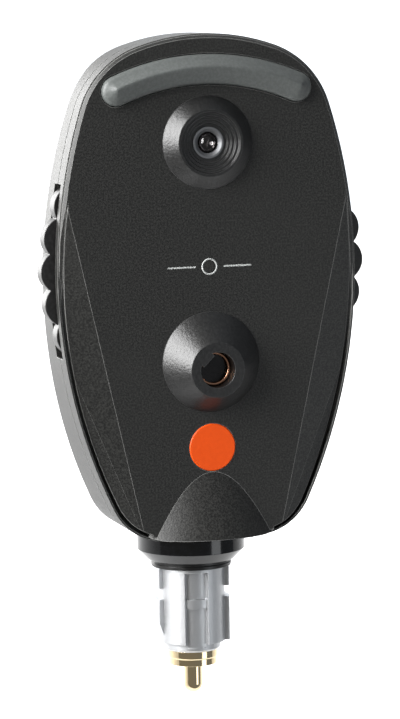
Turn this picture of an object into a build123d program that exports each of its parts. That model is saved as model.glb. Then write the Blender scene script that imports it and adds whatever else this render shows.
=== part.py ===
from build123d import *
import math
import os

# Direct ophthalmoscope head: a flat oval housing, seen from the practitioner's side at -Y, that plugs into a
# battery handle below.  Millimetres, +Z up.  The origin is on the plug's axis at the collar's underside.

# ---- housing ----
FACE_Y = -13.2            # flat front face
SPLIT_Y = -9.0            # joint between the front and rear shells
WALL = 1.8                # shell thickness
TOP_Z = 88.7              # top of the housing outline
# outline from the top centre clockwise: (radius, sweep in degrees) of arcs that run on tangent to each other
OUTLINE_ARCS = [(35.8, 19.6), (15.1, 52.7), (90.2, 43.1), (9.9, 64.6)]
EDGE_CHAMFER = 0.45       # bright bead round the front face
COVER_STEP = 0.25         # the face plate's edge stands in from the side wall by this
STEP_Y = -12.5            # where that step is
LIP, GROOVE = 0.35, 0.65  # low on the face a thin lip stands round the edge, with a groove inside it
GROOVE_TOP_Z = 64.0       # height where the groove's sloping floor starts, just in front of the face
GROOVE_SLOPE = 2.9        # degrees that the floor falls back on the way down
PARTING, PARTING_DEPTH = 0.4, 0.25   # width and depth of the shadow line where the shells meet
BOSS_R, BOSS_BORE = 2.3, 1.0         # screw bosses that join the shells
SIGHT_BORE, READOUT_BORE = 5.5, 5.0  # holes in the face that the two bezels are pressed into
BADGE_Z, BADGE_R = 20.6, 3.95
CREASE_TOP = (24.3, 63.0)   # x, z of the upper end of the crease where the side facet starts
CREASE_BOTTOM = (11.8, 6.0)
FACET_TILT = 10.5         # degrees that the side facets fall back
SECOND_TOP = (24.3, 36.0)   # x, z of a second crease, from the first one's foot to the foot of the wheel slot
SECOND_BOTTOM = (12.0, 6.2)
SECOND_TILT = 16.0

# rear surface: a barrel turned about a vertical line in front of the housing
BARREL_Y = -18.8
BARREL_R = 30.5
BARREL_Z = 45.0
BARREL_LOWER = 178.0      # radius of its lower generating arc
BARREL_UPPER = (110.0, 19.65)   # radius and sweep of the upper arc, then of the shoulder above it
BARREL_SHOULDER = (9.0, 40.3)
NECK_BOSS = (11.0, 9.6, 24.0)  # radius at the bottom, radius at the top, top z

CHIN = (16.7, 13.2, 16.5)      # cone round the plug axis: radius at the bottom, at the top, top z

# ---- optics on the face ----
SIGHT_Z = 70.95
READOUT_Z = 34.85
READOUT_RIM_Z = 33.9
WHEEL_Z = 50.5

# ---- lens wheel ----
STATIONS = 28
WHEEL_FRONT, WHEEL_BACK = -10.3, -7.7
WHEEL_TIP_R = 27.8
LOBE_R = 3.6
LENS_R = 1.9
AXLE_R = 2.0
RUNNING = 0.03            # radial clearance of a running fit
SLOT_FRONT, SLOT_BACK = -11.0, -7.0
SLOT_LOW, SLOT_HIGH = 36.2, 64.8
SWEEP_R = 28.15           # the shells are cleared to this radius where the wheel turns

# ---- chassis and light path, up the plug's axis ----
CHASSIS_FRONT, CHASSIS_BACK = -6.4, -5.4
TUBE_R, TUBE_BORE = 4.0, 3.2

# ---- aperture wheel ----
APERTURE_Y = 5.6
APERTURE_LOW, APERTURE_HIGH = 25.8, 28.2
APERTURE_R = 7.6
APERTURE_STATIONS = 6

# ---- plug and lamp ----
COLLAR_R, COLLAR_SEAT_R = 9.2, 7.6
NECK_R = 6.83
NECK_LOW = -1.25
PLUG_LOW = -15.8
PLUG_R, LUG_R, PLUG_CORE_R = 5.65, 6.5, 4.8
LAMP_R = 4.0
LAMP_BORE = LAMP_R + 0.05
TUBE_SEAT_Z = 10.6        # where the plug tube ends and the lower lens tube starts

HOUSING_SCREWS = [(-10.0, 82.0), (10.0, 82.0), (-12.0, 15.5), (12.0, 15.5)]
CHASSIS_SCREWS = [(-13.0, 66.0), (13.0, 66.0), (-13.0, 33.0), (13.0, 33.0)]


def rod_y(radius, y0, y1, x=0.0, z=0.0):
    """Cylinder along Y from y0 to y1."""
    return Pos(x, (y0 + y1) / 2, z) * Rot(90, 0, 0) * Cylinder(radius, abs(y1 - y0))


def rod_z(radius, z0, z1, x=0.0, y=0.0):
    """Cylinder along Z from z0 to z1."""
    return Pos(x, y, (z0 + z1) / 2) * Cylinder(radius, abs(z1 - z0))


def block(x0, x1, y0, y1, z0, z1):
    """Box between two corners."""
    return Pos((x0 + x1) / 2, (y0 + y1) / 2, (z0 + z1) / 2) * Box(x1 - x0, y1 - y0, z1 - z0)


def face_plane(y):
    """Upright plane at y: its local x and y are X and Z, and it extrudes towards the front."""
    return Plane(origin=(0, y, 0), x_dir=(1, 0, 0), z_dir=(0, -1, 0))


def slab(profile, y0, y1):
    """Profile in X and Z, extruded between y0 (front) and y1 (back)."""
    return extrude(face_plane(y1) * profile, amount=y1 - y0)


def turned_y(points, z=0.0):
    """Ring turned about the line along Y at height z, from (radius, y) points."""
    wire = Polyline(*[(r, y) for r, y in points], close=True)
    solid = revolve(make_face(wire), Axis.Y)
    return Pos(0, 0, z) * solid


def turned_z(points, x=0.0, y=0.0):
    """Ring turned about the vertical line at x, y, from (radius, z) points."""
    wire = Plane.XZ * Polyline(*[(r, z) for r, z in points], close=True)
    return Pos(x, y, 0) * revolve(make_face(wire), Axis.Z)


def outline(inset=0.0):
    """Housing outline in X and Z, moved inwards by inset."""
    arcs = []
    start, tangent = (0, TOP_Z - inset), (1, 0)
    for radius, sweep in OUTLINE_ARCS:
        arc = JernArc(start=start, tangent=tangent, radius=radius - inset, arc_size=-sweep)
        arcs.append(arc)
        start, tangent = arc @ 1, arc % 1
    arcs.append(Line(start, (0, start.Y)))
    half = Curve() + arcs
    return make_face(half + mirror(half, about=Plane.YZ))


def outline_bottom():
    """Height of the flat bottom edge that the outline's arcs end at."""
    height, heading = TOP_Z, 0.0
    for radius, sweep in OUTLINE_ARCS:
        turned = heading + math.radians(sweep)
        height -= radius * (math.cos(heading) - math.cos(turned))
        heading = turned
    return height


def barrel(inset=0.0):
    """Solid of revolution whose back is the housing's rear surface, moved inwards by inset."""
    top_arc = JernArc(start=(BARREL_R - inset, BARREL_Z), tangent=(0, 1),
                      radius=BARREL_UPPER[0] - inset, arc_size=BARREL_UPPER[1])
    shoulder = JernArc(start=top_arc @ 1, tangent=top_arc % 1,
                       radius=BARREL_SHOULDER[0] - inset, arc_size=BARREL_SHOULDER[1])
    slope = Line(shoulder @ 1, (shoulder @ 1) + (shoulder % 1) * 12)
    low_arc = JernArc(start=(BARREL_R - inset, BARREL_Z), tangent=(0, -1),
                      radius=BARREL_LOWER - inset, arc_size=-14.0)
    bottom = Line(low_arc @ 1, (0, (low_arc @ 1).Y))
    top = Line(slope @ 1, (0, (slope @ 1).Y))
    axis = Line(bottom @ 1, top @ 1)
    profile = make_face(Plane.XZ * (Curve() + [top_arc, shoulder, slope, low_arc, bottom, top, axis]))
    return Pos(0, BARREL_Y, 0) * revolve(profile, Axis.Z)


def facet_cutter(low, high, tilt, depth):
    """Wedge in front of a facet that falls back by tilt degrees outside the line from low to high."""
    along = (high - low).normalized()
    outward = Vector(along.Z, 0, -along.X).normalized()
    slope = math.radians(tilt)
    normal = (outward * math.cos(slope) + Vector(0, math.sin(slope), 0)).cross(along)
    foot = (low + high) * 0.5 + Vector(0, depth / math.cos(slope), 0)
    return Plane(origin=foot, x_dir=along, z_dir=normal) * (Pos(0, 0, 20) * Box(160, 120, 40))


def on_facet(x, z):
    """Point of the first side facet at x, z."""
    along = Vector(CREASE_TOP[0] - CREASE_BOTTOM[0], CREASE_TOP[1] - CREASE_BOTTOM[1]).normalized()
    outside = (x - CREASE_BOTTOM[0]) * along.Y - (z - CREASE_BOTTOM[1]) * along.X
    return Vector(x, FACE_Y + outside * math.tan(math.radians(FACET_TILT)), z)


def facets(depth=0.0):
    """The four cuts that shape the sides of the front face, moved back by depth."""
    first = facet_cutter(on_facet(*CREASE_BOTTOM), on_facet(*CREASE_TOP), FACET_TILT, depth)
    second = facet_cutter(on_facet(*SECOND_BOTTOM), on_facet(*SECOND_TOP), SECOND_TILT, depth)
    return [first, second, mirror(first, about=Plane.YZ), mirror(second, about=Plane.YZ)]


def edge_groove():
    """Groove inside the lip low on the face; its sloping floor runs out into the facet higher up."""
    ring = slab(outline(), FACE_Y - 1, SPLIT_Y) - slab(outline(LIP + GROOVE), FACE_Y - 2, SPLIT_Y + 1)
    slope = math.radians(GROOVE_SLOPE)
    facing = (0, -math.cos(slope), -math.sin(slope))
    floor = Plane(origin=(0, FACE_Y - 0.1, GROOVE_TOP_Z), x_dir=(1, 0, 0), z_dir=facing)
    reach = block(-40, 40, -30, 0, -10, GROOVE_TOP_Z) - block(-10.5, 10.5, -31, 1, -11, 12)
    return ring & (floor * (Pos(0, 0, 20) * Box(160, 160, 40))) & reach


def parting_line():
    """Shallow groove round the outside where the two shells meet."""
    ring = outline() - outline(PARTING_DEPTH)
    return slab(ring, SPLIT_Y - PARTING / 2, SPLIT_Y + PARTING / 2)


def wheel_slot(y0, y1):
    """Room for the lens wheel: its swept disc, and a square-ended slot in both side walls."""
    slots = [block(x, x + 10, y0, y1, SLOT_LOW, SLOT_HIGH) for x in (-30.5, 20.5)]
    return [rod_y(SWEEP_R, y0, y1, 0, WHEEL_Z)] + slots


def brow_profile(grow=0.0):
    """Curved bar outline of the brow rest."""
    centre_z, radius, half = 44.6, 38.3, 2.45 + grow
    reach = 23.7
    path = CenterArc((0, centre_z), radius, 90 - reach, 2 * reach)
    bar = make_face(Curve() + [
        CenterArc((0, centre_z), radius + half, 90 - reach, 2 * reach),
        CenterArc((0, centre_z), radius - half, 90 - reach, 2 * reach),
        Line(polar(radius + half, 90 - reach, centre_z), polar(radius - half, 90 - reach, centre_z)),
        Line(polar(radius + half, 90 + reach, centre_z), polar(radius - half, 90 + reach, centre_z)),
    ])
    ends = [Pos(*(path @ t)) * Circle(half) for t in (0, 1)]
    return bar + ends


def polar(radius, degrees, z):
    """Point in X and Z at a radius and angle from (0, z)."""
    return (radius * math.cos(math.radians(degrees)), z + radius * math.sin(math.radians(degrees)))


def housing_front():
    """Front half: face plate with a bead round its edge, side wall, chin over the plug, screw bosses."""
    plate = slab(outline(COVER_STEP), FACE_Y + EDGE_CHAMFER, SPLIT_Y)
    bead = extrude(face_plane(FACE_Y + EDGE_CHAMFER) * outline(COVER_STEP), amount=EDGE_CHAMFER, taper=45)
    body = plate + bead
    for cut in facets():
        body -= cut
    body -= edge_groove()
    body += slab(outline(), STEP_Y, SPLIT_Y) - slab(outline(LIP), STEP_Y - 1, SPLIT_Y + 1)
    inner = slab(outline(WALL), FACE_Y + WALL, SPLIT_Y)
    for cut in facets(WALL - 0.2):
        inner -= cut
    foot = outline_bottom() + 0.05
    chin = turned_z([(0, foot), (CHIN[0], foot), (CHIN[1], CHIN[2]), (0, CHIN[2])])
    body += chin & slab(outline(0.3), -20, FACE_Y + 1.0)
    body -= inner
    for x, z in HOUSING_SCREWS:
        body += rod_y(BOSS_R, FACE_Y + WALL - 0.2, SPLIT_Y, x, z)
        body -= rod_y(BOSS_BORE, FACE_Y + 2.2, SPLIT_Y, x, z)
    body -= rod_y(SIGHT_BORE, FACE_Y - 1, SPLIT_Y, 0, SIGHT_Z)
    body -= rod_y(READOUT_BORE, FACE_Y - 1, SPLIT_Y, 0, READOUT_Z)
    body -= slab(brow_profile(0.15), FACE_Y - 1, FACE_Y + 0.5)
    body -= rod_y(BADGE_R + 0.05, FACE_Y - 1, FACE_Y + 0.35, 0, BADGE_Z)
    body -= parting_line()
    for cut in wheel_slot(SLOT_FRONT, SPLIT_Y):
        body -= cut
    return body


def housing_rear():
    """Rear half: side wall and barrel-shaped back with a neck boss, window hole, slot and screw bosses."""
    body = slab(outline(), SPLIT_Y, 16.0) & barrel()
    rim = [edge for edge in body.edges() if edge.center().Y > SPLIT_Y + 3]
    body = fillet(rim, 1.5)
    foot = outline_bottom()
    boss = turned_z([(0, foot), (NECK_BOSS[0], foot), (NECK_BOSS[1], NECK_BOSS[2]), (0, NECK_BOSS[2])])
    body += boss & block(-20, 20, 0, 20, 4, 30)
    outer = body
    inner = slab(outline(WALL), SPLIT_Y - 1, 15.0) & barrel(WALL)
    body -= inner
    for x, z in HOUSING_SCREWS:
        back = rear_surface(x, z)
        body += rod_y(BOSS_R, SPLIT_Y, back, x, z) & outer
        body -= rod_y(1.1, SPLIT_Y - 1, back + 3, x, z)
        body -= rod_y(2.0, back - 1.6, back + 6, x, z)
    for x, z in CHASSIS_SCREWS:
        body += rod_y(2.2, CHASSIS_BACK, rear_surface(x, z), x, z) & outer
        body -= rod_y(0.8, CHASSIS_BACK - 1, CHASSIS_BACK + 4.0, x, z)
    body -= parting_line()
    body -= rod_y(5.4, 4.0, 16.0, 0, SIGHT_Z)
    body -= rod_z(APERTURE_R + 0.4, APERTURE_LOW - 0.4, APERTURE_HIGH + 0.4, 0, APERTURE_Y)
    body -= rod_z(6.05, 3.0, 9.0)
    body -= rod_z(7.6, foot + WALL, 10.0)
    for cut in wheel_slot(SPLIT_Y, SLOT_BACK):
        body -= cut
    return body


def rear_surface(x, z):
    """Depth of the rear surface at x, z."""
    if z < BARREL_Z:
        radius = BARREL_R - BARREL_LOWER + math.sqrt(BARREL_LOWER ** 2 - (z - BARREL_Z) ** 2)
    elif z < 82.0:
        radius = BARREL_R - BARREL_UPPER[0] + math.sqrt(BARREL_UPPER[0] ** 2 - (z - BARREL_Z) ** 2)
    else:
        radius = 24.1
    return BARREL_Y + math.sqrt(radius ** 2 - x ** 2)


def face_parts():
    """What is set into the front face."""
    rest = slab(brow_profile(), FACE_Y - 2.1, FACE_Y + 0.5)
    rest = fillet(rest.faces().sort_by(Axis.Y)[0].edges(), 1.3)

    cone = turned_y([(2.6, FACE_Y + WALL), (SIGHT_BORE, FACE_Y + WALL), (SIGHT_BORE, FACE_Y), (7.7, FACE_Y),
                     (5.5, FACE_Y - 1.9), (5.05, FACE_Y - 1.9), (4.85, FACE_Y - 1.5), (4.4, FACE_Y - 1.5),
                     (4.25, FACE_Y - 1.1), (3.8, FACE_Y - 1.1), (3.65, FACE_Y - 0.7), (3.25, FACE_Y - 0.7),
                     (3.15, FACE_Y - 0.3), (2.6, FACE_Y - 0.3)], SIGHT_Z)
    ring = turned_y([(1.75, FACE_Y + 1.4), (2.6, FACE_Y + 1.4), (2.6, FACE_Y - 0.5), (2.3, FACE_Y - 0.5),
                     (1.75, FACE_Y - 0.1)], SIGHT_Z)
    window = rod_y(1.75, FACE_Y + 0.2, FACE_Y + 1.0, 0, SIGHT_Z)

    base = face_plane(FACE_Y) * Pos(0, READOUT_Z) * Circle(8.35)
    rim = face_plane(FACE_Y - 3.85) * Pos(0, READOUT_RIM_Z) * Circle(4.55)
    readout = loft([base, rim]) + rod_y(READOUT_BORE, FACE_Y, FACE_Y + WALL, 0, READOUT_Z)
    hole = Circle(2.95) - Pos(-2.9, 2.9) * Rot(0, 0, 45) * Rectangle(2.6, 4.0)
    hole = Pos(0, READOUT_RIM_Z) * hole
    readout -= slab(hole, FACE_Y - 5, FACE_Y + 3)
    readout -= rod_y(3.6, FACE_Y - 0.9, FACE_Y + 3, 0, READOUT_RIM_Z)
    dome = Pos(0, FACE_Y + 5.3, READOUT_RIM_Z) * Sphere(6.9)
    magnifier = rod_y(3.6, FACE_Y - 3, FACE_Y + 0.6, 0, READOUT_RIM_Z) & dome
    magnifier &= block(-5, 5, FACE_Y - 0.9, FACE_Y + 0.6, READOUT_RIM_Z - 5, READOUT_RIM_Z + 5)

    badge = rod_y(BADGE_R, FACE_Y - 0.15, FACE_Y + 0.35, 0, BADGE_Z)
    badge = chamfer(badge.faces().sort_by(Axis.Y)[0].edges(), 0.12)
    return {"brow_rest": rest, "sight_cone": cone, "sight_ring": ring, "sight_window": window,
            "readout_cone": readout, "readout_magnifier": magnifier, "badge": badge}


def lens_wheel_parts():
    """Lobed wheel with one open station and a lens in every other, its dial, bush and lens retainer."""
    pitch = SIGHT_Z - WHEEL_Z
    step = 360.0 / STATIONS
    wheel = Circle(26.2)
    for i in range(STATIONS):
        angle = math.radians(i * step)
        lobe_at = WHEEL_TIP_R - LOBE_R
        wheel += Pos(lobe_at * math.sin(angle), lobe_at * math.cos(angle)) * Circle(LOBE_R)
    wheel -= Circle(3.2)
    stations = []
    for i in range(STATIONS):
        angle = math.radians(i * step)
        stations.append((pitch * math.sin(angle), pitch * math.cos(angle)))
    for x, z in stations:
        wheel -= Pos(x, z) * Circle(LENS_R)
    disc = slab(Pos(0, WHEEL_Z) * wheel, WHEEL_FRONT, WHEEL_BACK)
    lenses = [rod_y(LENS_R, WHEEL_FRONT + 0.6, WHEEL_BACK - 0.7, x, WHEEL_Z + z) for x, z in stations[1:]]
    retainer = Circle(23.0) - Circle(18.2)
    for x, z in stations:
        retainer -= Pos(x, z) * Circle(1.6)
    return {
        "lens_wheel": disc,
        "wheel_lenses": Compound(children=lenses),
        "lens_retainer": slab(Pos(0, WHEEL_Z) * retainer, WHEEL_FRONT - 0.3, WHEEL_FRONT),
        "dial_ring": slab(Pos(0, WHEEL_Z) * (Circle(17.9) - Circle(13.2)), WHEEL_FRONT - 0.2, WHEEL_FRONT),
        "wheel_bush": rod_y(3.2, WHEEL_FRONT - 0.2, WHEEL_BACK + 0.6, 0, WHEEL_Z)
        - rod_y(AXLE_R + RUNNING, WHEEL_FRONT - 2, WHEEL_BACK + 2, 0, WHEEL_Z),
    }


def chassis_parts():
    """Plate behind the lens wheel with the wheel's axle and detent, the lens tubes and the mirror."""
    right = [(7.5, 14), (7.5, 20), (17.5, 30), (17.5, 68), (8, 76)]
    left = [(-x, z) for x, z in reversed(right)]
    plate = make_face(Polyline(*right, *left, close=True))
    plate -= Pos(0, SIGHT_Z) * Circle(3.0)
    plate -= Pos(0, WHEEL_Z) * Circle(1.2)
    for x, z in CHASSIS_SCREWS:
        plate -= Pos(x, z) * Circle(0.9)
    chassis = slab(plate, CHASSIS_FRONT, CHASSIS_BACK)
    for z in (16.0, 36.5):
        saddle = block(-5.5, 5.5, CHASSIS_BACK, 0.0, z, z + 5.0)
        chassis += saddle - rod_z(TUBE_R, z - 1, z + 6)

    end = WHEEL_FRONT - 0.25
    axle = rod_y(AXLE_R, end, CHASSIS_FRONT, 0, WHEEL_Z) + rod_y(1.2, CHASSIS_FRONT, CHASSIS_BACK, 0, WHEEL_Z)
    axle -= rod_y(0.8, end - 1, end + 2.9, 0, WHEEL_Z)
    axle_screw = rod_y(2.9, end - 0.45, end, 0, WHEEL_Z) + rod_y(0.8, end, end + 2.9, 0, WHEEL_Z)
    axle_screw -= block(-2.0, 2.0, end - 0.5, end - 0.25, WHEEL_Z - 0.25, WHEEL_Z + 0.25)

    spring = block(5.0, 17.3, CHASSIS_FRONT - 0.3, CHASSIS_FRONT, WHEEL_Z - 1.5, WHEEL_Z + 1.5)
    ball = Pos(16.2, CHASSIS_FRONT - 0.75, WHEEL_Z) * Sphere(0.45)

    lower = rod_z(TUBE_R, TUBE_SEAT_Z, 25.2) - rod_z(TUBE_BORE, TUBE_SEAT_Z - 1, 26)
    upper = rod_z(TUBE_R, 28.8, 46.0) - rod_z(TUBE_BORE, 28, 47)
    condenser = rod_z(TUBE_BORE, 15.0, 18.2)
    condenser &= (Pos(0, 0, 12.6) * Sphere(5.6)) & (Pos(0, 0, 20.6) * Sphere(5.6))
    objective = rod_z(TUBE_BORE, 38.0, 40.6)
    objective &= (Pos(0, 0, 33.2) * Sphere(7.4)) & (Pos(0, 0, 45.4) * Sphere(7.4))

    foot = block(-3.6, 3.6, CHASSIS_BACK, -2.4, 58.0, 68.0)
    side = Polyline((-2.4, 58.0), (2.6, 58.0), (2.6, 64.2), (-2.4, 68.8), close=True)
    wedge = extrude(Plane.YZ * make_face(side), amount=3.6, both=True)
    holder = foot + wedge - rod_z(2.6, 57, 70, 0, 0.4)
    slope = Polyline((-2.4, 68.8), (2.6, 64.2), (3.28, 64.94), (-1.72, 69.54), close=True)
    mirror_piece = extrude(Plane.YZ * make_face(slope), amount=3.2, both=True)
    screws = []
    for x, z in CHASSIS_SCREWS:
        screw = rod_y(1.7, CHASSIS_FRONT - 0.8, CHASSIS_FRONT, x, z)
        screw += rod_y(0.8, CHASSIS_FRONT, CHASSIS_BACK + 3.4, x, z)
        screw -= block(x - 1.8, x + 1.8, CHASSIS_FRONT - 1, CHASSIS_FRONT - 0.45, z - 0.2, z + 0.2)
        screws.append(screw)
    return {"chassis": chassis, "wheel_axle": axle, "axle_screw": axle_screw, "detent_spring": spring,
            "detent_ball": ball, "lower_lens_tube": lower, "upper_lens_tube": upper,
            "condenser_lens": condenser, "objective_lens": objective, "mirror_holder": holder,
            "mirror": mirror_piece, "chassis_screws": Compound(children=screws)}


def aperture_parts():
    """Thumb wheel through the spine that swings stops and filters into the light path, and its bracket."""
    step = 360.0 / APERTURE_STATIONS
    centres = []
    for i in range(APERTURE_STATIONS):
        angle = math.radians(i * step - 90)
        centres.append((APERTURE_Y * math.cos(angle), APERTURE_Y + APERTURE_Y * math.sin(angle)))
    wheel = rod_z(APERTURE_R, APERTURE_LOW, APERTURE_HIGH, 0, APERTURE_Y)
    grips = 36
    for i in range(grips):
        angle = 2 * math.pi * i / grips
        wheel -= rod_z(0.3, APERTURE_LOW - 1, APERTURE_HIGH + 1, (APERTURE_R + 0.1) * math.cos(angle),
                       APERTURE_Y + (APERTURE_R + 0.1) * math.sin(angle))
    wheel -= rod_z(1.8, APERTURE_LOW - 1, APERTURE_HIGH + 1, 0, APERTURE_Y)
    for x, y in centres:
        wheel -= rod_z(1.35, APERTURE_LOW - 1, APERTURE_HIGH + 1, x, y)
    hub = rod_z(1.9, 20, 30, 0, APERTURE_Y)
    wheel -= rod_z(7.1, APERTURE_HIGH - 0.3, APERTURE_HIGH + 1, 0, APERTURE_Y) - hub
    disc = rod_z(7.1, APERTURE_HIGH - 0.3, APERTURE_HIGH, 0, APERTURE_Y) - hub
    for (x, y), size in zip(centres, (1.3, 0.7, 0.4, 1.0, 1.2, 1.2)):
        disc -= rod_z(size, 20, 30, x, y)
    filters = [rod_z(1.35, APERTURE_LOW + 0.4, APERTURE_LOW + 1.4, x, y) for x, y in centres[4:]]
    bush = rod_z(1.8, APERTURE_LOW - 0.4, APERTURE_HIGH + 0.3, 0, APERTURE_Y)
    bush -= rod_z(1.0 + RUNNING, 20, 30, 0, APERTURE_Y)

    low, high = (23.8, 25.0), (29.0, 30.2)
    bracket = block(8.4, 9.4, CHASSIS_BACK, 7.0, low[0], high[1])
    for z0, z1 in (low, high):
        bracket += block(4.2, 8.4, CHASSIS_BACK, 7.0, z0, z1)
        bracket += block(-2.0, 4.2, 4.1, 7.0, z0, z1)
    axle = rod_z(1.0, low[0], high[1] + 0.4, 0, APERTURE_Y)
    bracket -= rod_z(1.0, 20, 32, 0, APERTURE_Y)
    detent = block(4.6, 8.0, 1.6, 6.6, low[1], low[1] + 0.15)
    detent += Pos(5.6, APERTURE_Y, low[1] + 0.4) * Sphere(0.3)
    return {"aperture_wheel": wheel, "aperture_disc": disc, "colour_filters": Compound(children=filters),
            "aperture_bush": bush, "aperture_bracket": bracket, "aperture_axle": axle,
            "aperture_detent": detent}


def rear_parts():
    """Window that the light leaves by, its bezel, and the housing screws."""
    back = rear_surface(0, SIGHT_Z)
    bezel = turned_y([(3.6, back - 2.6), (5.4, back - 2.6), (5.4, back + 0.5), (4.9, back + 0.9),
                      (4.2, back + 0.9), (3.9, back - 0.6), (3.6, back - 0.6)], SIGHT_Z)
    window = rod_y(3.6, back - 2.2, back - 1.0, 0, SIGHT_Z)
    screws = []
    for x, z in HOUSING_SCREWS:
        seat = rear_surface(x, z) - 1.6
        screw = rod_y(1.9, seat, seat + 1.1, x, z) + rod_y(1.0, FACE_Y + 2.6, seat, x, z)
        for width, height in ((2.2, 0.5), (0.5, 2.2)):
            screw -= block(x - width / 2, x + width / 2, seat + 0.5, seat + 2, z - height / 2, z + height / 2)
        screws.append(screw)
    return {"exit_bezel": bezel, "exit_window": window, "housing_screws": Compound(children=screws)}


def sector(radius, start, end, z0, z1):
    """Wedge of a disc about the plug's axis; degrees from the front, positive towards +X."""
    points = [(0.0, 0.0)]
    steps = 6
    for i in range(steps + 1):
        angle = math.radians(start + (end - start) * i / steps)
        points.append((radius * math.sin(angle), -radius * math.cos(angle)))
    return Pos(0, 0, z0) * extrude(make_face(Polyline(*points, close=True)), amount=z1 - z0)


def plug_parts():
    """Collar, neck ring, bayonet plug with its lugs and pocket, insulating sleeve and the nut inside."""
    top = outline_bottom()
    collar = turned_z([(6.05, 0.8), (NECK_R + 0.02, 0.0), (COLLAR_SEAT_R, 0.0), (COLLAR_R, 1.7),
                       (COLLAR_R, top), (6.05, top)])
    neck = turned_z([(5.6, NECK_LOW), (NECK_R, NECK_LOW), (NECK_R, -0.72), (NECK_R - 0.15, -0.62),
                     (NECK_R, -0.52), (NECK_R, 0.0), (6.07, 0.72), (6.07, 0.0), (5.6, 0.0)])

    nose = turned_z([(0, PLUG_LOW), (PLUG_CORE_R - 0.3, PLUG_LOW), (PLUG_CORE_R, PLUG_LOW + 0.3),
                     (PLUG_CORE_R, -14.4), (0, -14.4)])
    barrel_part = rod_z(PLUG_R, -14.4, NECK_LOW) + nose
    lug_disc = rod_z(LUG_R, -14.3, NECK_LOW)
    lugs = lug_disc & (sector(9, 60, 104, -15, NECK_LOW) + sector(9, 158, 200, -15, NECK_LOW)
                       + sector(9, 242, 286, -15, NECK_LOW))
    lugs -= rod_z(9, -6.8, -4.9) - rod_z(PLUG_R, -7, -4.5)
    ramp = rod_z(9, -16, -10.9) - turned_z([(0, -10.9), (LUG_R, -10.9), (4.6, -15.7), (0, -15.7)])
    lugs -= ramp & sector(9, 242, 286, -16, -10)
    plug = barrel_part + lugs
    pocket = sector(9, -28.5, 13, -15.0, -2.0) - rod_z(4.75, -16, 0)
    ledge = sector(9, -28.5, 13, -8.2, -6.6) & (rod_z(5.15, -9, -5) - rod_z(4.5, -9, -5))
    plug = plug - pocket + ledge
    plug += rod_z(5.6, NECK_LOW, 8.6)
    plug -= rod_z(LAMP_BORE, PLUG_LOW - 1, 7.4)
    plug -= rod_z(3.0, 7.0, 9.0)

    sleeve = rod_z(6.05, 0.0, top + WALL) - rod_z(5.6, -1, top + 3)
    nut = extrude(Pos(0, 0, top + WALL) * RegularPolygon(7.2, 6), amount=2.0) - rod_z(5.6, 6, 9)
    return {"collar": collar, "neck_ring": neck, "plug_body": plug, "plug_sleeve": sleeve, "plug_nut": nut}


def lamp_parts():
    """Plug-in lamp: gold base with a contact pin below, steel sleeve and a glass bulb above."""
    base = turned_z([(2.4, PLUG_LOW - 2.5), (4.2, PLUG_LOW - 2.5), (4.2, PLUG_LOW - 1.4),
                     (4.35, PLUG_LOW - 1.2), (4.35, PLUG_LOW), (LAMP_R, PLUG_LOW), (LAMP_R, -12.0),
                     (2.4, -12.0)])
    insulator = turned_z([(1.0, PLUG_LOW - 2.2), (2.4, PLUG_LOW - 2.2), (2.4, -11.0), (1.0, -11.0)])
    pin = rod_z(1.6, -22.0, PLUG_LOW - 2.2) + (Pos(0, 0, -22.0) * Sphere(1.6))
    pin += rod_z(1.0, PLUG_LOW - 2.2, -9.5)
    sleeve = rod_z(LAMP_R, -12.0, 1.5) - rod_z(3.4, -13, 2)
    bulb = rod_z(2.5, -7.0, 2.6) + Pos(0, 0, 2.6) * Sphere(2.5)
    hollow = rod_z(2.1, -5.6, 2.6) + Pos(0, 0, 2.6) * Sphere(2.1)
    bulb -= hollow
    seat = rod_z(3.4, -9.5, -6.0) - rod_z(2.5, -7.0, -5.0) - rod_z(0.6, -10, -6)
    leads = [rod_z(0.15, -5.6, 1.0, x, 0) for x in (-0.9, 0.9)]
    coil = Pos(0, 0, 1.0) * Rot(0, 90, 0) * Cylinder(0.28, 2.1)
    filament = leads[0] + leads[1] + coil
    return {"lamp_base": base, "lamp_insulator": insulator, "lamp_contact": pin, "lamp_sleeve": sleeve,
            "bulb": bulb, "bulb_seat": seat, "filament": filament}


parts = {"front_shell": housing_front(), "rear_shell": housing_rear()}
for make in (face_parts, lens_wheel_parts, chassis_parts, aperture_parts, rear_parts, plug_parts, lamp_parts):
    parts.update(make())

os.makedirs("parts", exist_ok=True)
for name, solid in parts.items():
    export_step(solid, f"parts/{name}.step")
    print(name, len(solid.solids()), round(solid.volume, 2))
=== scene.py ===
import math

import bmesh
import bpy
from mathutils import Matrix, Vector


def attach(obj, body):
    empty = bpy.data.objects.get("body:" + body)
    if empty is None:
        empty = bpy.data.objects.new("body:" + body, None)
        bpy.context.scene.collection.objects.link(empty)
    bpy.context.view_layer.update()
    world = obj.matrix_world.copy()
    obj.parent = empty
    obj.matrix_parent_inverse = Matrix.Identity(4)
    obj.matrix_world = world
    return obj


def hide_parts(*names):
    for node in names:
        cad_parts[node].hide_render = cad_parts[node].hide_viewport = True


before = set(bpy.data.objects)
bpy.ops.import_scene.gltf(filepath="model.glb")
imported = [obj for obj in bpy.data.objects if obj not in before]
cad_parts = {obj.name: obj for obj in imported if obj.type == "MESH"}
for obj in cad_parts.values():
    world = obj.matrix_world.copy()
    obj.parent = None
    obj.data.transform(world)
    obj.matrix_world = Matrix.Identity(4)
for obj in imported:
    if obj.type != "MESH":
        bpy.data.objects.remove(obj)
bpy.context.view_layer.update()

# --------------------------------------------------------------------------------------------------
# Housing shells.  Two injection-moulded halves in charcoal polycarbonate with a fine spark-eroded
# skin, screwed together from behind.  The skin is rubbed paler along every edge and slightly
# polished by hands; thin pale lines along the creases are painted highlight.
# --------------------------------------------------------------------------------------------------
MM = 0.001
FACE_Y = -13.2  # the flat of the face, millimetres


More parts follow.
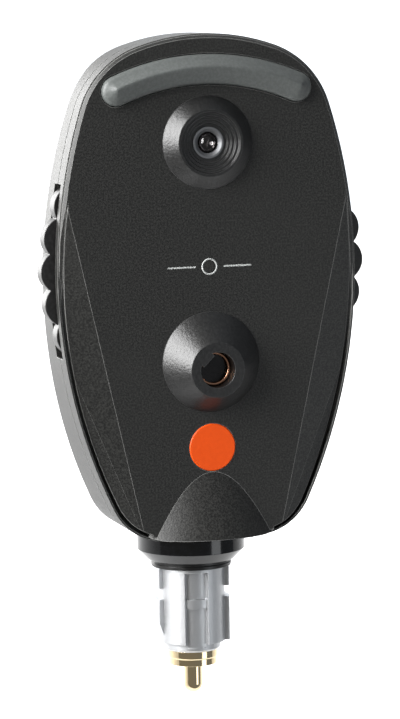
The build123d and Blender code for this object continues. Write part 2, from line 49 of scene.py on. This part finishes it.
class Value:
    """A shader value.  Sums, differences and products of it add Math nodes."""

    def __init__(self, finish, socket):
        self.finish, self.socket = finish, socket

    def maths(self, operation, *values):
        return self.finish.node("ShaderNodeMath", {"operation": operation}, dict(enumerate(values)))

    def __add__(self, other):
        return self.maths("ADD", self, other)

    def __radd__(self, other):
        return self.maths("ADD", other, self)

    def __sub__(self, other):
        return self.maths("SUBTRACT", self, other)

    def __rsub__(self, other):
        return self.maths("SUBTRACT", other, self)

    def __mul__(self, other):
        return self.maths("MULTIPLY", self, other)

    def __rmul__(self, other):
        return self.maths("MULTIPLY", other, self)


class Finish:
    """One procedural material, or world: its shader, and the nodes that vary what changes over it."""

    def __init__(self, owner, **constants):
        owner.use_nodes = True
        self.owner, self.tree = owner, owner.node_tree
        self.shader = self.tree.nodes.get("Principled BSDF") or self.tree.nodes["Background"]
        for socket, value in constants.items():
            self.shader.inputs[socket.replace("_", " ")].default_value = value

    def join(self, socket, value):
        if isinstance(value, Value):
            self.tree.links.new(value.socket, socket)
        else:
            socket.default_value = value

    def node(self, kind, settings, sockets, output=0):
        made = self.tree.nodes.new(kind)
        for key, value in settings.items():
            setattr(made, key, value)
        for key, value in sockets.items():
            self.join(made.inputs[key], value)
        return Value(self, made.outputs[output])

    def feed(self, socket, value):
        self.join(self.shader.inputs[socket], value)

    def noise(self, size, detail=2.0, roughness=0.5):
        """Noise from 0 to 1 whose blotches are about size metres across."""
        place = self.node("ShaderNodeTexCoord", {}, {}, "Object")
        return self.node("ShaderNodeTexNoise", {},
                         {"Vector": place, "Scale": 0.5 / size, "Detail": detail, "Roughness": roughness})

    def between(self, mask, low, high):
        """Colour that goes from low to high with the mask."""
        return self.node("ShaderNodeMix", {"data_type": "RGBA"}, {0: mask, 6: low, 7: high}, 2)

    def ramp(self, value, low, high):
        """0 below low and 1 above high, smooth between them."""
        return self.node("ShaderNodeMapRange", {"interpolation_type": "SMOOTHSTEP"},
                         {"Value": value, "From Min": low, "From Max": high})

    def rounded(self, radius):
        """Surface normal with every edge rounded to the radius."""
        return self.node("ShaderNodeBevel", {"samples": 6}, {"Radius": radius})

    def edges(self, radius, low=0.004, high=0.12):
        """Near 1 along edges whose rounding turns the normal enough, 0 on flat or gently curved surface."""
        true_normal = self.node("ShaderNodeNewGeometry", {}, {}, "Normal")
        cosine = self.node("ShaderNodeVectorMath", {"operation": "DOT_PRODUCT"},
                           {0: self.rounded(radius), 1: true_normal}, "Value")
        return self.ramp(1.0 - cosine, low, high)

    def relief(self, height, depth, edge_radius=None):
        """Bumps of the height pattern, depth metres deep, over edges rounded to edge_radius."""
        sockets = {"Height": height, "Distance": depth, "Strength": 1.0}
        if edge_radius:
            sockets["Normal"] = self.rounded(edge_radius)
        self.feed("Normal", self.node("ShaderNodeBump", {}, sockets))


def grey(level, tint=(1.0, 1.0, 1.0)):
    """Opaque colour of that brightness, tinted."""
    return (level * tint[0], level * tint[1], level * tint[2], 1.0)


def wear(finish, *names):
    """Gives CAD nodes a finish in all their slots."""
    for name in names:
        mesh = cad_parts[name].data
        mesh.materials.clear()
        mesh.materials.append(finish.owner)


def moulded(name, level, tint=(1.0, 1.0, 1.0), grain_size=0.0004, grain_depth=0.00001, roughness=0.5,
            shine=0.4, edge_level=0.02, edge_radius=0.0001, contrast=0.5, crease_highlight_level=None):
    """Moulded plastic or rubber: eroded grain, faint mottling, polished patches, rubbed edges, painted
    highlights along creases.
    """
    finish = Finish(bpy.data.materials.new(name), Specular_IOR_Level=shine)
    grain = finish.noise(grain_size, 2.0, 0.6)
    cloud = finish.noise(0.009, 3.0, 0.55)
    edge = finish.edges(edge_radius)
    speck = finish.ramp(grain, 0.36, 0.66)
    darker, paler = grey(level * (1 - contrast), tint), grey(level * (1 + contrast), tint)
    colour = finish.between(speck, darker, paler)
    colour = finish.between(finish.ramp(cloud, 0.50, 0.80) * 0.25, colour, paler)
    colour = finish.between(edge, colour, grey(edge_level, tint))
    if crease_highlight_level:
        # painted highlight: paler lines along the creases stand in for the light the creases catch;
        # creases turn the normal far less than true edges, so their mask opens much sooner
        crease = finish.edges(edge_radius, 0.0003, 0.0020)
        crease_highlight = crease * (0.55 + 0.5 * finish.noise(0.0025, 3.0))
        colour = finish.between(crease_highlight, colour, grey(crease_highlight_level, (1.0, 1.0, 0.97)))
    finish.feed("Base Color", colour)
    finish.feed("Roughness", roughness + 0.08 * (cloud - 0.5) + 0.12 * (grain - 0.5) - 0.08 * edge)
    finish.relief(grain, grain_depth, edge_radius)
    return finish


shell_plastic = moulded("charcoal_shell", 0.016, (1.0, 1.0, 0.93), grain_size=0.00015,
                        grain_depth=0.00004, roughness=0.47, shine=0.46, edge_level=0.085,
                        edge_radius=0.00014, contrast=0.6, crease_highlight_level=0.20)
wear(shell_plastic, "front_shell", "rear_shell")

# --------------------------------------------------------------------------------------------------
# Sight and readout bezels.  Moulded cones in black satin plastic, pressed into the face; the exit
# bezel behind is the same material.
# --------------------------------------------------------------------------------------------------
bezel_plastic = moulded("black_bezel", 0.006, grain_size=0.00022, grain_depth=0.00004, roughness=0.38,
                        shine=0.72, edge_level=0.05, edge_radius=0.00016)
wear(bezel_plastic, "sight_cone", "readout_cone", "exit_bezel")

# --------------------------------------------------------------------------------------------------
# Brow rest.  A curved bar of grey elastomer moulded into the top of the face, with a soft crest
# nearer its upper edge and rounded ends.
# --------------------------------------------------------------------------------------------------
brow_centre_z, brow_radius, brow_half = 44.6, 38.3, 2.45
brow_reach = math.radians(23.7)
# (inset from the bar's outline, height above the face) from the foot to the crest, millimetres
brow_profile = [(0.0, -0.5), (0.0, 0.35), (0.06, 0.62), (0.22, 0.86), (0.5, 1.03), (0.9, 1.22), (1.4, 1.50),
                (1.9, 1.82), (2.15, 1.98), (2.3, 2.05), (2.4, 2.08)]
crest_shift = 0.45
brow_steps, cap_steps = 48, 12
brow_mesh = bmesh.new()
loops = []
for inset, rise in brow_profile:
    half = brow_half - inset
    radius = brow_radius + crest_shift * (inset / brow_half) ** 1.5
    # (angle along the bar, distance from the arc's centre, distance past the bar's end)
    outline = []
    for i in range(brow_steps + 1):
        turn = brow_reach - 2 * brow_reach * i / brow_steps
        outline.append((turn, radius + half, 0.0))
    for i in range(1, cap_steps):
        round_end = math.pi * i / cap_steps
        outline.append((-brow_reach, radius + half * math.cos(round_end), -half * math.sin(round_end)))
    for i in range(brow_steps + 1):
        turn = -brow_reach + 2 * brow_reach * i / brow_steps
        outline.append((turn, radius - half, 0.0))
    for i in range(1, cap_steps):
        round_end = math.pi * i / cap_steps
        outline.append((brow_reach, radius - half * math.cos(round_end), half * math.sin(round_end)))
    loop = []
    for turn, reach, beyond in outline:
        x = reach * math.sin(turn) + beyond * math.cos(turn)
        z = brow_centre_z + reach * math.cos(turn) - beyond * math.sin(turn)
        loop.append(brow_mesh.verts.new((x * MM, (FACE_Y - rise) * MM, z * MM)))
    loops.append(loop)
for lower, upper in zip(loops, loops[1:]):
    for i in range(len(lower)):
        j = (i + 1) % len(lower)
        brow_mesh.faces.new((lower[i], lower[j], upper[j], upper[i]))
brow_mesh.faces.new(loops[-1])
brow_mesh.faces.new(reversed(loops[0]))
bmesh.ops.recalc_face_normals(brow_mesh, faces=brow_mesh.faces)
for face in brow_mesh.faces:
    face.smooth = True
brow_data = bpy.data.meshes.new("moulded_brow_rest")
brow_mesh.to_mesh(brow_data)
brow_mesh.free()
moulded_rest = bpy.data.objects.new("moulded_brow_rest", brow_data)
bpy.context.scene.collection.objects.link(moulded_rest)
brow_rubber = moulded("brow_elastomer", 0.105, (0.93, 1.0, 0.97), grain_size=0.00022, grain_depth=0.00002,
                      roughness=0.45, shine=0.5, edge_level=0.13, edge_radius=0.0002, contrast=0.10)
brow_data.materials.append(brow_rubber.owner)
wear(brow_rubber, "brow_rest")
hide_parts("brow_rest")
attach(moulded_rest, "housing")

# --------------------------------------------------------------------------------------------------
# Badge.  A disc of printed orange foil under clear lacquer, stamped out and glued into a shallow
# recess let into the face.
# --------------------------------------------------------------------------------------------------
badge_foil = Finish(bpy.data.materials.new("orange_foil"), Specular_IOR_Level=0.25)
fleck = badge_foil.noise(0.0003, 3.0)
badge_foil.feed("Base Color", badge_foil.between(fleck, (0.72, 0.070, 0.004, 1), (0.82, 0.090, 0.006, 1)))
badge_foil.feed("Roughness", 0.42 + 0.1 * (fleck - 0.5))
badge_foil.relief(fleck, 0.000008, 0.0001)
wear(badge_foil, "badge")

# --------------------------------------------------------------------------------------------------
# Index mark.  A small open circle between two short dashes in pale ink, pad-printed on the face
# between the two bezels once the shell is moulded.
# --------------------------------------------------------------------------------------------------
print_white = moulded("print_white", 0.50, (0.97, 1.0, 0.98), grain_size=0.00012, grain_depth=0.000004,
                      roughness=0.55, shine=0.4, edge_level=0.5, edge_radius=0.00005)
mark_z, dash_half_height = 50.6, 0.14
dash_inner, dash_outer = 2.4, 7.2
circle_inner, circle_outer = 1.1, 1.38
ink_back, ink_thickness = FACE_Y + 0.005, 0.02


def printed(name, points, y, thickness):
    """Thin printed patch with the outline points (x, z), its back at y, millimetres."""
    shape = bmesh.new()
    lower = [shape.verts.new((x * MM, y * MM, z * MM)) for x, z in points]
    upper = [shape.verts.new((x * MM, (y - thickness) * MM, z * MM)) for x, z in points]
    for i in range(len(points)):
        j = (i + 1) % len(points)
        shape.faces.new((lower[i], lower[j], upper[j], upper[i]))
    shape.faces.new(upper)
    shape.faces.new(reversed(lower))
    bmesh.ops.recalc_face_normals(shape, faces=shape.faces)
    data = bpy.data.meshes.new(name)
    shape.to_mesh(data)
    shape.free()
    data.materials.append(print_white.owner)
    piece = bpy.data.objects.new(name, data)
    bpy.context.scene.collection.objects.link(piece)
    return piece


def turned(name, profile, centre_z, segments=96):
    """Smooth body turned about the line along Y at centre_z, from (radius, y) points in millimetres."""
    shape = bmesh.new()
    rings = []
    for i in range(segments):
        turn = 2 * math.pi * i / segments
        rings.append([shape.verts.new((r * math.cos(turn) * MM, y * MM,
                                       (centre_z + r * math.sin(turn)) * MM)) for r, y in profile])
    for i in range(segments):
        here, after = rings[i], rings[(i + 1) % segments]
        for j in range(len(profile)):
            k = (j + 1) % len(profile)
            shape.faces.new((here[j], here[k], after[k], after[j]))
    bmesh.ops.remove_doubles(shape, verts=shape.verts, dist=1e-7)
    bmesh.ops.recalc_face_normals(shape, faces=shape.faces)
    data = bpy.data.meshes.new(name)
    shape.to_mesh(data)
    shape.free()
    data.shade_smooth()
    piece = bpy.data.objects.new(name, data)
    bpy.context.scene.collection.objects.link(piece)
    return piece


mark_pieces = []
for ends in ((-dash_outer, -dash_inner), (dash_inner, dash_outer)):
    low_z, high_z = mark_z - dash_half_height, mark_z + dash_half_height
    dash = [(ends[0], low_z), (ends[1], low_z), (ends[1], high_z), (ends[0], high_z)]
    mark_pieces.append(printed("index_dash", dash, ink_back, ink_thickness))
circle = [(circle_inner, ink_back), (circle_outer, ink_back), (circle_outer, ink_back - ink_thickness),
          (circle_inner, ink_back - ink_thickness)]
mark_ring = turned("index_circle", circle, mark_z, 64)
mark_ring.data.materials.append(print_white.owner)
mark_pieces.append(mark_ring)
for piece in mark_pieces:
    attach(piece, "housing")

# --------------------------------------------------------------------------------------------------
# Lens wheel and aperture wheel.  Moulded in black nylon and run on metal axles, polished by fingers
# on the lobes that stand out of the housing.
# --------------------------------------------------------------------------------------------------
wheel_plastic = moulded("black_wheel", 0.010, (1.0, 0.97, 0.97), grain_size=0.00030, grain_depth=0.00003,
                        roughness=0.42, shine=0.55, edge_level=0.06, edge_radius=0.00025)
wear(wheel_plastic, "lens_wheel", "aperture_wheel")

# --------------------------------------------------------------------------------------------------
# Dial.  A flat black ring glued to the front of the lens wheel, printed with one white figure to
# each lens station; a figure stands upright where it passes the readout hole.
# --------------------------------------------------------------------------------------------------
dial_black = moulded("dial_black", 0.012)
wear(dial_black, "dial_ring")
stations, wheel_centre_z, figure_radius, figure_y, figure_height = 28, 50.5, 15.65, -10.52, 2.1
figure_shape = bmesh.new()
for i in range(stations):
    curve = bpy.data.curves.new("figure_outline", "FONT")
    curve.body = str(i if i <= stations // 2 else stations - i)
    curve.size, curve.extrude = figure_height * MM, 0.01 * MM
    curve.resolution_u = 3
    curve.align_x, curve.align_y = "CENTER", "CENTER"
    outline = bpy.data.objects.new("figure_outline", curve)
    data = bpy.data.meshes.new_from_object(outline)
    turn = 2 * math.pi * i / stations
    across, down = figure_radius * math.sin(turn), figure_radius * math.cos(turn)
    place = Vector((across, figure_y, wheel_centre_z - down)) * MM
    upright = Matrix.Rotation(math.pi / 2, 4, "X")
    data.transform(Matrix.Translation(place) @ Matrix.Rotation(-turn, 4, "Y") @ upright)
    figure_shape.from_mesh(data)
    bpy.data.objects.remove(outline)
    bpy.data.meshes.remove(data)
figure_data = bpy.data.meshes.new("dial_figures")
figure_shape.to_mesh(figure_data)
figure_shape.free()
figure_data.materials.append(print_white.owner)
dial_figures = bpy.data.objects.new("dial_figures", figure_data)
bpy.context.scene.collection.objects.link(dial_figures)
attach(dial_figures, "lens_wheel")

# --------------------------------------------------------------------------------------------------
# Chassis, lens tubes, mirror holder and aperture parts.  Aluminium, turned or stamped and anodised
# matt black, on a plate screwed inside the rear shell.  The ring round the sight glass is anodised
# grey.
# --------------------------------------------------------------------------------------------------


def metal(name, colour, roughness, grain_size=0.00015, grain_depth=0.000004, variation=0.5,
          edge_radius=None):
    """Metal with fine grain, cloudy roughness and slightly dulled patches."""
    finish = Finish(bpy.data.materials.new(name), Metallic=1.0)
    grain = finish.noise(grain_size, 3.0, 0.6)
    cloud = finish.noise(0.004, 3.0)
    dull = tuple(c * 0.78 for c in colour)
    tarnish = finish.ramp(cloud, 0.35, 0.75) * variation
    finish.feed("Base Color", finish.between(tarnish, (*colour, 1), (*dull, 1)))
    finish.feed("Roughness", roughness + 0.12 * (cloud - 0.5) + 0.08 * (grain - 0.5))
    finish.relief(grain, grain_depth, edge_radius)
    return finish


black_alloy = metal("black_anodised", (0.05, 0.05, 0.053), 0.45, grain_depth=0.000006, variation=0.6,
                    edge_radius=0.0001)
wear(black_alloy, "chassis", "lower_lens_tube", "upper_lens_tube", "mirror_holder", "aperture_disc",
     "aperture_bracket", "lens_retainer")
ring_alloy = metal("grey_anodised", (0.26, 0.265, 0.275), 0.55, grain_depth=0.000006, variation=0.6,
                   edge_radius=0.0001)
wear(ring_alloy, "sight_ring")

# --------------------------------------------------------------------------------------------------
# Lens clip.  A thin copper-toned spring ring, snapped into the readout hole, where it holds the
# readout lens in its seat.
# --------------------------------------------------------------------------------------------------
clip_radius, clip_wire_radius, clip_depth, clip_z, wire_sides = 2.62, 0.3, 1.25, 33.9, 10
ring_wire = []
for i in range(wire_sides):
    turn = 2 * math.pi * i / wire_sides
    ring_wire.append((clip_radius + clip_wire_radius * math.cos(turn),
                      FACE_Y - clip_depth + clip_wire_radius * math.sin(turn)))
lens_clip = turned("lens_clip", ring_wire, clip_z)
copper_ring = metal("copper_ring", (0.62, 0.34, 0.22), 0.22, grain_size=0.00012)
lens_clip.data.materials.append(copper_ring.owner)
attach(lens_clip, "housing")

# --------------------------------------------------------------------------------------------------
# Steel and brass hardware.  Ground steel axles, detents, screws and lamp sleeve, with the bulb's
# filament in the same grey metal; turned brass bushes and the nut that clamps the plug.
# --------------------------------------------------------------------------------------------------
ground_steel = metal("ground_steel", (0.44, 0.445, 0.455), 0.30, grain_size=0.00010, edge_radius=0.00008)
wear(ground_steel, "wheel_axle", "axle_screw", "detent_spring", "detent_ball", "chassis_screws",
     "aperture_axle", "aperture_detent", "housing_screws", "lamp_sleeve", "filament")
turned_brass = metal("turned_brass", (0.72, 0.55, 0.28), 0.25, grain_size=0.00012, edge_radius=0.00008)
wear(turned_brass, "wheel_bush", "aperture_bush", "plug_nut")

# --------------------------------------------------------------------------------------------------
# Mirror.  A small piece of glass silvered on its front face, cut to size and glued to the sloping
# seat of its holder.
# --------------------------------------------------------------------------------------------------
mirror_silver = metal("front_silver", (0.92, 0.93, 0.94), 0.03, grain_size=0.0002, grain_depth=0.0000002,
                      variation=0.1)
wear(mirror_silver, "mirror")

# --------------------------------------------------------------------------------------------------
# Lenses, windows, filters and the bulb.  Coated glass with a trace of dust, seated in tubes and
# rings; the sight glass is a small dome, and two filters on the aperture wheel are dyed green.
# --------------------------------------------------------------------------------------------------


def glass(name, colour):
    """Clear coated glass with a trace of dust in its colour and roughness."""
    finish = Finish(bpy.data.materials.new(name), Transmission_Weight=1.0, IOR=1.52)
    dust = finish.noise(0.0006, 4.0, 0.7)
    finish.feed("Base Color", finish.between(finish.ramp(dust, 0.5, 0.9) * 0.2, (*colour, 1), grey(0.8)))
    finish.feed("Roughness", 0.01 + 0.05 * finish.ramp(dust, 0.62, 0.85))
    return finish


clear_glass = glass("clear_lens", (0.95, 0.97, 0.98))
wear(clear_glass, "wheel_lenses", "condenser_lens", "objective_lens", "exit_window", "bulb")
# painted shade: the sight glass and readout magnifier are tinted dark, standing in for the shadowed inside
# of the head behind them
glass_painted_dark = glass("lens_painted_dark", (0.30, 0.27, 0.27))
wear(glass_painted_dark, "sight_window", "readout_magnifier")
green_glass = glass("green_filter", (0.08, 0.6, 0.25))
wear(green_glass, "colour_filters")
dome_radius, dome_sag, dome_steps, dome_z = 1.74, 1.15, 12, 70.95
dome_back, dome_rim = FACE_Y + 1.0, FACE_Y + 0.3
dome = [(0.0, dome_back), (dome_radius, dome_back)]
for i in range(dome_steps + 1):
    inward = 1 - i / dome_steps
    dome.append((dome_radius * inward, dome_rim - dome_sag * (1 - inward ** 2)))
sight_lens = turned("sight_lens", dome, dome_z)
sight_lens.data.materials.append(glass_painted_dark.owner)
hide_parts("sight_window")
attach(sight_lens, "housing")

# --------------------------------------------------------------------------------------------------
# Insulators.  Grey moulded sleeves and seats round the lamp and inside the plug, pushed in dry,
# that keep the centre contact apart from the body.
# --------------------------------------------------------------------------------------------------
insulator_plastic = moulded("grey_insulator", 0.22, (1.0, 1.0, 0.96), edge_level=0.3)
wear(insulator_plastic, "lamp_insulator", "bulb_seat", "plug_sleeve")

# --------------------------------------------------------------------------------------------------
# Collar and neck ring.  The collar is turned in gloss black plastic and clamped up against the
# shells by the plug; the ring below it is moulded in black rubber.
# --------------------------------------------------------------------------------------------------
collar_gloss = moulded("collar_gloss", 0.003, (0.9, 0.95, 1.2), grain_size=0.0005, grain_depth=0.000003,
                       roughness=0.10, shine=0.5, edge_level=0.03, edge_radius=0.00015)
wear(collar_gloss, "collar")
neck_black = moulded("neck_black", 0.004, grain_size=0.0005, roughness=0.35, shine=0.5)
wear(neck_black, "neck_ring")

# --------------------------------------------------------------------------------------------------
# Plug and lamp contacts.  The bayonet plug is die-cast and plated satin silver with a grainy cast
# skin; the lamp's flange and pin are turned and plated with polished gold.
# --------------------------------------------------------------------------------------------------
plug_silver = metal("plug_silver", (0.62, 0.63, 0.645), 0.46, grain_size=0.00022, grain_depth=0.00004,
                    variation=0.35, edge_radius=0.00018)
wear(plug_silver, "plug_body")
contact_gold = metal("contact_gold", (0.86, 0.70, 0.44), 0.10, grain_size=0.0003, grain_depth=0.000002,
                     variation=0.4, edge_radius=0.00012)
wear(contact_gold, "lamp_base", "lamp_contact")

# --------------------------------------------------------------------------------------------------
# Camera.  A long lens a little to the left of the face and slightly above it, so that the front and
# the left side wall both show.
# --------------------------------------------------------------------------------------------------
scene = bpy.context.scene
camera_place = Vector((-150.487, -492.525, 97.849)) * MM
camera_right = Vector((0.95442726, -0.29798902, -0.01646669))
camera_up = Vector((0.05244743, 0.11315562, 0.99219205))
camera_back = camera_right.cross(camera_up)
camera_data = bpy.data.cameras.new("camera")
camera_data.sensor_width = 36.0
camera_data.lens = 153.85
camera_data.clip_start = 0.01
camera = bpy.data.objects.new("camera", camera_data)
camera.matrix_world = (Matrix.Translation(camera_place)
                       @ Matrix((camera_right, camera_up, camera_back)).transposed().to_4x4())
scene.collection.objects.link(camera)
scene.camera = camera

# --------------------------------------------------------------------------------------------------
# Floor.  A plain pale sweep of matt board well below the head, reaching away behind it, so that the
# background is clean and bright.
# --------------------------------------------------------------------------------------------------
floor_mesh = bpy.data.meshes.new("floor")
floor_shape = bmesh.new()
bmesh.ops.create_grid(floor_shape, x_segments=2, y_segments=2, size=3.0)
floor_shape.to_mesh(floor_mesh)
floor_shape.free()
floor = bpy.data.objects.new("floor", floor_mesh)
floor.location = (0.4, 2.8, -0.45)
scene.collection.objects.link(floor)
floor_finish = Finish(bpy.data.materials.new("pale_floor"), Roughness=0.8)
floor_finish.feed("Base Color", floor_finish.between(floor_finish.noise(0.05), grey(0.93), grey(0.96)))
floor_mesh.materials.append(floor_finish.owner)

# --------------------------------------------------------------------------------------------------
# Studio lights.  A soft box close on the left, a gridded panel behind on the left for the side
# wall, a broad light over the sweep, a weak fill low on the right, and a bright room behind with a
# dim one in front.
# --------------------------------------------------------------------------------------------------


def softbox(name, place, target, width, height, watts, spread=180, tint=(1.0, 1.0, 1.0)):
    """Rectangular area light at place, facing target; a spread under 180 degrees is a honeycomb grid."""
    light = bpy.data.lights.new(name, "AREA")
    light.shape, light.size, light.size_y, light.energy = "RECTANGLE", width, height, watts
    light.color = tint
    light.spread = math.radians(spread)
    lamp = bpy.data.objects.new(name, light)
    lamp.location = place
    lamp.rotation_mode = "QUATERNION"
    lamp.rotation_quaternion = (Vector(target) - Vector(place)).to_track_quat("-Z", "Y")
    scene.collection.objects.link(lamp)


softbox("left_box", (-0.40, -0.13, 0.23), (0, 0, 0.06), 0.34, 0.40, 7.0)
softbox("left_panel", (-0.50, 1.45, 0.27), (0, 0, 0.04), 0.9, 0.8, 2.5, spread=70)
softbox("sweep_light", (0.4, 3.3, 1.35), (0.4, 3.3, -0.45), 5.4, 5.4, 190, spread=120)
softbox("front_fill", (0.33, -0.42, -0.12), (0, 0, -0.01), 0.2, 0.2, 0.30, tint=(0.95, 0.98, 1.0))

studio = Finish(bpy.data.worlds.new("studio"))
scene.world = studio.owner
direction = studio.node("ShaderNodeTexCoord", {}, {}, "Generated")
rightward, depth, height = (studio.node("ShaderNodeSeparateXYZ", {}, {0: direction}, axis)
                            for axis in range(3))
warm, cool = (1.0, 0.98, 0.93, 1), (0.92, 0.98, 1.06, 1)
studio.feed("Color", studio.between(studio.ramp(rightward, -0.6, 0.8), warm, cool))
behind, overhead = studio.ramp(depth, 0.40, 0.85), studio.ramp(height, 0.55, 0.95)
studio.feed("Strength", 0.20 + 1.25 * behind + 0.25 * overhead)
scene.view_settings.view_transform = "Standard"
